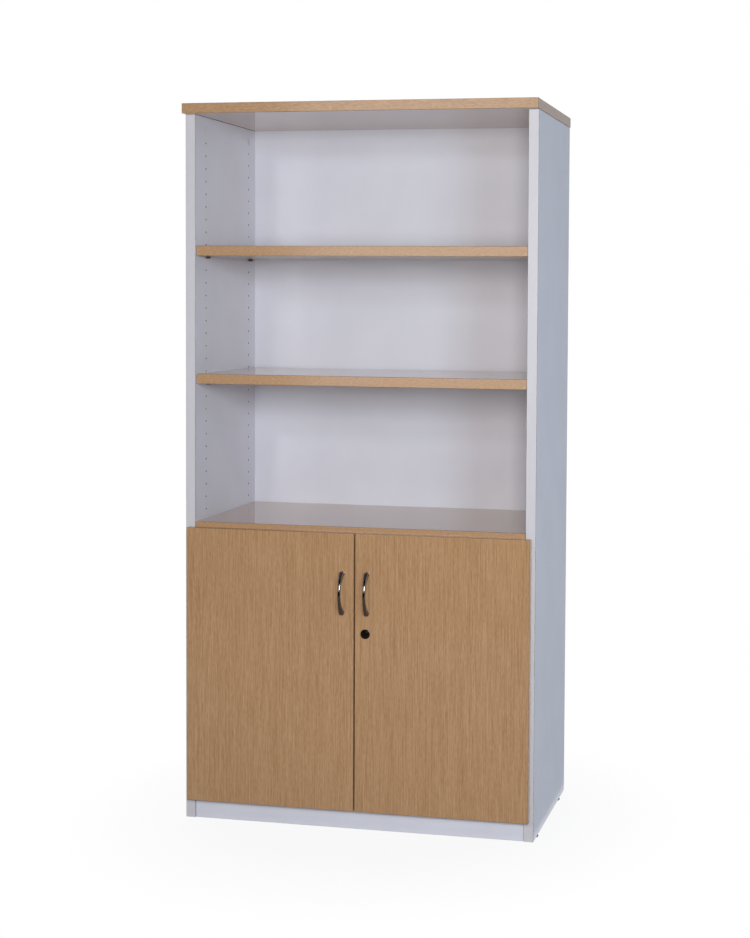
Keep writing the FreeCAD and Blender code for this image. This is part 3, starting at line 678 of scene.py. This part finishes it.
def flattenedRing(tree):  # a circle pushed out towards a square, so that the bow has a flat front
    ring = addNode(tree, "GeometryNodeCurvePrimitiveCircle", {"Resolution": handle["ringSteps"]})
    ring.inputs["Radius"].default_value = 1.0
    place = addNode(tree, "GeometryNodeInputPosition").outputs[0]
    parts = addNode(tree, "ShaderNodeSeparateXYZ", {0: place}).outputs
    power = handle["squareness"]
    powers = [calc(tree, "POWER", calc(tree, "ABSOLUTE", part), power) for part in parts[:2]]
    reach = calc(tree, "POWER", calc(tree, "ADD", *powers), -1 / power)
    pushed = vectorCalc(tree, "MULTIPLY", place, combine(tree, reach, reach, reach))
    inputs = {"Geometry": ring.outputs[0], "Position": pushed}
    return addNode(tree, "GeometryNodeSetPosition", inputs).outputs[0]


def handleTree():  # an arc between two posts, thin in the middle, with a ball over each post
    labels = ("Pitch", "Rise", "Post", "Foot Radius", "Middle Radius", "Across", "Face", "Height")
    tree, given = geometryTree("bowHandle", labels)
    half = calc(tree, "MULTIPLY", given["Pitch"], 0.5)
    lowHalf = calc(tree, "MULTIPLY", half, -1.0)
    outwards = calc(tree, "MULTIPLY", given["Post"], -1.0)
    arcInputs = {
        "Resolution": handle["arcSteps"],
        "Start": combine(tree, 0.0, outwards, lowHalf),
        "Middle": combine(tree, 0.0, calc(tree, "MULTIPLY", given["Rise"], -1.0), 0.0),
        "End": combine(tree, 0.0, outwards, half),
    }
    arc = addNode(tree, "GeometryNodeCurveArc", arcInputs, mode="POINTS").outputs[0]
    along = addNode(tree, "GeometryNodeSplineParameter").outputs["Factor"]
    fromMiddle = calc(tree, "MULTIPLY_ADD", along, 2.0, -1.0)
    end = calc(tree, "MULTIPLY", given["Foot Radius"], handle["endShare"])
    swell = calc(tree, "SUBTRACT", end, given["Middle Radius"])
    squared = calc(tree, "MULTIPLY", fromMiddle, fromMiddle)
    radius = calc(tree, "MULTIPLY_ADD", squared, swell, given["Middle Radius"])
    ring = flattenedRing(tree)
    tubeInputs = {"Curve": arc, "Profile Curve": ring, "Scale": radius, "Fill Caps": True}
    bow = addNode(tree, "GeometryNodeCurveToMesh", tubeInputs).outputs[0]
    dome = moved(tree, ball(tree, given["Foot Radius"]), combine(tree, 0.0, outwards, 0.0))
    post = cylinder(tree, given["Foot Radius"], given["Post"])
    postMiddle = combine(tree, 0.0, calc(tree, "MULTIPLY", given["Post"], -0.5), 0.0)
    post = moved(tree, post, postMiddle, turn=(math.pi / 2, 0, 0))
    foot = boolean(tree, "UNION", dome, post)
    foot = boolean(tree, "INTERSECT", foot, cutterTo(tree, (0, -1, 0)))
    up = moved(tree, foot, combine(tree, 0.0, 0.0, half))
    down = moved(tree, foot, combine(tree, 0.0, 0.0, lowHalf))
    whole = boolean(tree, "UNION", bow, up, down)
    whole = moved(tree, whole, combine(tree, given["Across"], given["Face"], given["Height"]))
    closeTree(tree, given, whole, smoothAngle=40)
    return tree


bowHandle = handleTree()
for hand in ("left", "right"):
    low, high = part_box(hand + "_handle")
    halfWidth = (high.x - low.x) / 2
    sizes = {
        "Pitch": high.z - low.z - 2 * halfWidth,
        "Rise": high.y - low.y - handle["middleRadius"],
        "Post": handle["post"],
        "Foot Radius": halfWidth + handle["footSwell"],
        "Middle Radius": handle["middleRadius"],
        "Across": (low.x + high.x) / 2,
        "Face": high.y,
        "Height": (low.z + high.z) / 2,
    }
    piece = grown(hand + "_bow_handle", bowHandle, sizes, finishes["darkNickel"])
    finishPiece(piece, hand + "_door", "handle_chrome", hand + "_handle")
print("handles finished")


lock = {
    "flange": 2.2 * millimetre,
    "overlap": 2.6 * millimetre,  # how far the flange stands out past the barrel
    "lip": 1.8 * millimetre,
    "straightShare": 0.2,  # of the flange's depth, before the lip begins to round over
    "lipSteps": 8,
    "mouth": 0.4 * millimetre,
    "plugGap": 0.05 * millimetre,
    "segments": 64,
}
seamGap = 1e-7  # points closer than this where the turned shape closes become one


def lathe(profile, centre, segments):  # turns a closed profile of (radius, depth) about Y
    mesh = bmesh.new()
    ring = [mesh.verts.new((centre.x + radius, depth, centre.z)) for radius, depth in profile]
    edges = [mesh.edges.new((ring[n], ring[n - 1])) for n in range(len(ring))]
    bmesh.ops.spin(
        mesh, geom=ring + edges, cent=(centre.x, 0, centre.z), axis=(0, 1, 0),
        angle=math.tau, steps=segments, use_merge=True,
    )
    bmesh.ops.remove_doubles(mesh, verts=mesh.verts, dist=seamGap)
    bmesh.ops.recalc_face_normals(mesh, faces=mesh.faces)
    return mesh


def lockRim():  # the barrel and its round flange, with a rounded lip and a bevelled mouth
    low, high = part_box("lock_body")
    plugLow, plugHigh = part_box("lock_plug")
    centre = (low + high) / 2
    outer = (high.x - low.x) / 2
    bore = (plugHigh.x - plugLow.x) / 2 + lock["plugGap"]
    barrel = outer - lock["overlap"]
    face, seat = low.y, low.y + lock["flange"]
    straight, steps = lock["straightShare"], lock["lipSteps"]
    profile = [(bore, high.y), (barrel, high.y), (barrel, seat), (outer, seat)]
    for step in range(steps + 1):
        angle = math.pi / 2 * step / steps
        radius = outer - lock["lip"] * (1 - math.cos(angle))
        rise = lock["flange"] * (straight + (1 - straight) * math.sin(angle))
        profile.append((radius, seat - rise))
    profile.append((bore + lock["mouth"], face))
    profile.append((bore, face + lock["mouth"]))
    return lathe(profile, centre, lock["segments"])


piece = pieceFrom(lockRim(), "lock_rim", finishes["lockBlack"], smoothAngle=30)
finishPiece(piece, "right_door", "lock_black", "lock_body")
print("lock finished")


screws = {  # the finish of each group, the way its heads face, and the width of the recess
    "left_cup_screws": ("zincSteel", "back", 0.62),
    "right_cup_screws": ("zincSteel", "back", 0.62),
    "hinge_plate_screws": ("zincSteel", "inwards", 0.62),
    "hinge_arm_screws": ("zincSteel", "inwards", 0.66),
    "keeper_screws": ("zincSteel", "back", 0.62),
    "bolt_guide_screws": ("zincSteel", "back", 0.62),
    "back_panel_screws": ("zincSteel", "back", 0.6),
    "left_handle_screws": ("zincSteel", "back", 0.6),
    "right_handle_screws": ("zincSteel", "back", 0.6),
    "tongue_screw": ("zincSteel", "back", 0.55),
}
screwShape = {
    "domeSegments": 28,
    "domeRings": 14,
    "shankCorners": 16,
    "bladeShare": 0.26,  # width of the cross's arms, as a share of its length
    "rimShare": 0.95,  # points further out than this share of the head's radius lie on its rim
    "plainShank": 0.4,  # share of the head's radius, where the solid has no shank to measure
    "seed": 7,
}
levelGap = 1e-5  # points closer together than this are on one level


def islands(mesh):  # the vertices of each loose part, in the order of their places
    left = set(mesh.verts)
    found = []
    while left:
        front = [left.pop()]
        part = set(front)
        while front:
            reached = {edge.other_vert(front[-1]) for edge in front[-1].link_edges} - part
            front.pop()
            part |= reached
            front.extend(reached)
        left -= part
        found.append([vert.co.copy() for vert in part])
    return sorted(found, key=lambda part: tuple(round(value, 4) for value in partCentre(part)))


def partCentre(points):
    return [(min(p[n] for p in points) + max(p[n] for p in points)) / 2 for n in range(3)]


def screwMeasures(points, way):  # where a screw's head sits, which way it faces, and its sizes
    middle = Vector(partCentre(points))
    inwards = Vector((-math.copysign(1, middle.x), 0, 0))
    facing = Vector((0, 1, 0)) if way == "back" else inwards
    along = [(point - middle).dot(facing) for point in points]
    away = [((point - middle) - facing * depth).length for point, depth in zip(points, along)]
    headRadius = max(away)
    rim = screwShape["rimShare"] * headRadius
    seat = min(depth for depth, radius in zip(along, away) if radius > rim)
    shank = [radius for depth, radius in zip(along, away) if depth < seat - levelGap]
    sizes = {
        "Head Radius": headRadius,
        "Head Height": max(along) - seat,
        "Shank Radius": max(shank, default=screwShape["plainShank"] * headRadius),
        "Shank Length": seat - min(along),
    }
    return middle + facing * seat, facing, sizes


def screwTree():  # a low dome with a cross cut into it, on a shank
    labels = ("Head Radius", "Head Height", "Shank Radius", "Shank Length", "Recess")
    tree, given = geometryTree("crossScrew", labels)
    radius, height = given["Head Radius"], given["Head Height"]
    whole = ball(tree, 1.0, screwShape["domeSegments"], screwShape["domeRings"])
    dome = moved(tree, whole, scale=combine(tree, radius, radius, height))
    dome = boolean(tree, "INTERSECT", dome, cutterTo(tree, (0, 0, 1)))
    length = calc(tree, "MULTIPLY", calc(tree, "MULTIPLY", radius, 2.0), given["Recess"])
    width = calc(tree, "MULTIPLY", length, screwShape["bladeShare"])
    blade = moved(tree, box(tree, length, width, height), combine(tree, 0.0, 0.0, height))
    cross = moved(tree, blade, turn=(0, 0, math.pi / 2))
    head = boolean(tree, "DIFFERENCE", dome, blade, cross)
    sunk = combine(tree, 0.0, 0.0, calc(tree, "MULTIPLY", given["Shank Length"], -0.5))
    corners = screwShape["shankCorners"]
    shank = cylinder(tree, given["Shank Radius"], given["Shank Length"], corners)
    shape = joined(tree, head, moved(tree, shank, sunk))
    facing = addNode(
        tree, "GeometryNodeInputNamedAttribute", {"Name": "facing"}, data_type="FLOAT_VECTOR",
    ).outputs[0]
    turned = addNode(tree, "FunctionNodeAlignRotationToVector", {"Vector": facing}, axis="Z")
    inputs = {2: 0.0, 3: math.pi, "Seed": screwShape["seed"]}
    chance = addNode(tree, "FunctionNodeRandomValue", inputs)
    spun = addNode(tree, "FunctionNodeAxisAngleToRotation", {0: (0, 0, 1), 1: chance.outputs[1]})
    inputs = {0: turned.outputs[0], 1: spun.outputs[0]}
    rotation = addNode(tree, "FunctionNodeRotateRotation", inputs, rotation_space="LOCAL")
    inputs = {"Points": given["Geometry"], "Instance": shape, "Rotation": rotation.outputs[0]}
    placed = addNode(tree, "GeometryNodeInstanceOnPoints", inputs).outputs[0]
    closeTree(tree, given, placed)
    return tree


crossScrew = screwTree()
for name, (finish, way, recess) in screws.items():
    copy = mergedCopy(name)
    measured = [screwMeasures(points, way) for points in islands(copy)]
    copy.free()
    places = [place for place, facing, sizes in measured]
    facings = [facing for place, facing, sizes in measured]
    sizes = {**measured[0][2], "Recess": recess}
    piece = grown(name + "_turned", crossScrew, sizes, finishes[finish], places, facings)
    finishPiece(piece, nodeBody[name], nodeSlot[name], name)
print("screws finished:", len(screws))


glide = {"radius": 13.6 * millimetre, "rim": 1.0 * millimetre, "corners": 48}


def glideTree():  # a round pad that narrows to the floor, on a spigot
    labels = ("Radius", "Rim", "Height", "Spigot Radius", "Spigot Length")
    tree, given = geometryTree("floorGlide", labels)
    under = calc(tree, "SUBTRACT", given["Radius"], given["Rim"])
    padInputs = {
        "Vertices": glide["corners"],
        "Radius Top": given["Radius"],
        "Radius Bottom": under,
        "Depth": given["Height"],
    }
    pad = addNode(tree, "GeometryNodeMeshCone", padInputs).outputs[0]
    lift = combine(tree, 0.0, 0.0, calc(tree, "MULTIPLY", given["Spigot Length"], 0.5))
    lift = vectorCalc(tree, "ADD", lift, combine(tree, 0.0, 0.0, given["Height"]))
    spigot = moved(tree, cylinder(tree, given["Spigot Radius"], given["Spigot Length"]), lift)
    shape = joined(tree, pad, spigot)
    inputs = {"Points": given["Geometry"], "Instance": shape}
    placed = addNode(tree, "GeometryNodeInstanceOnPoints", inputs).outputs[0]
    closeTree(tree, given, placed)
    return tree


copy = mergedCopy("floor_glides")
places = []
for points in islands(copy):
    middle = Vector(partCentre(points))
    middle.z = min(point.z for point in points)
    places.append(middle)
    padTop = min(point.z for point in points if point.z > middle.z + levelGap)
    spigot = [abs(point.x - middle.x) for point in points if point.z > padTop + levelGap]
copy.free()
sizes = {
    "Radius": glide["radius"],
    "Rim": glide["rim"],
    "Height": padTop - middle.z,
    "Spigot Radius": max(spigot),
    "Spigot Length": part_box("floor_glides")[1].z - padTop,
}
piece = grown("floor_glides_turned", glideTree(), sizes, finishes["glideBlack"], places)
finishPiece(piece, nodeBody["floor_glides"], nodeSlot["floor_glides"], "floor_glides")
print("glides finished:", len(places))


sizes = {"cad": [list(corner) for corner in cadBox], "visual": [list(corner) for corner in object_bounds()]}
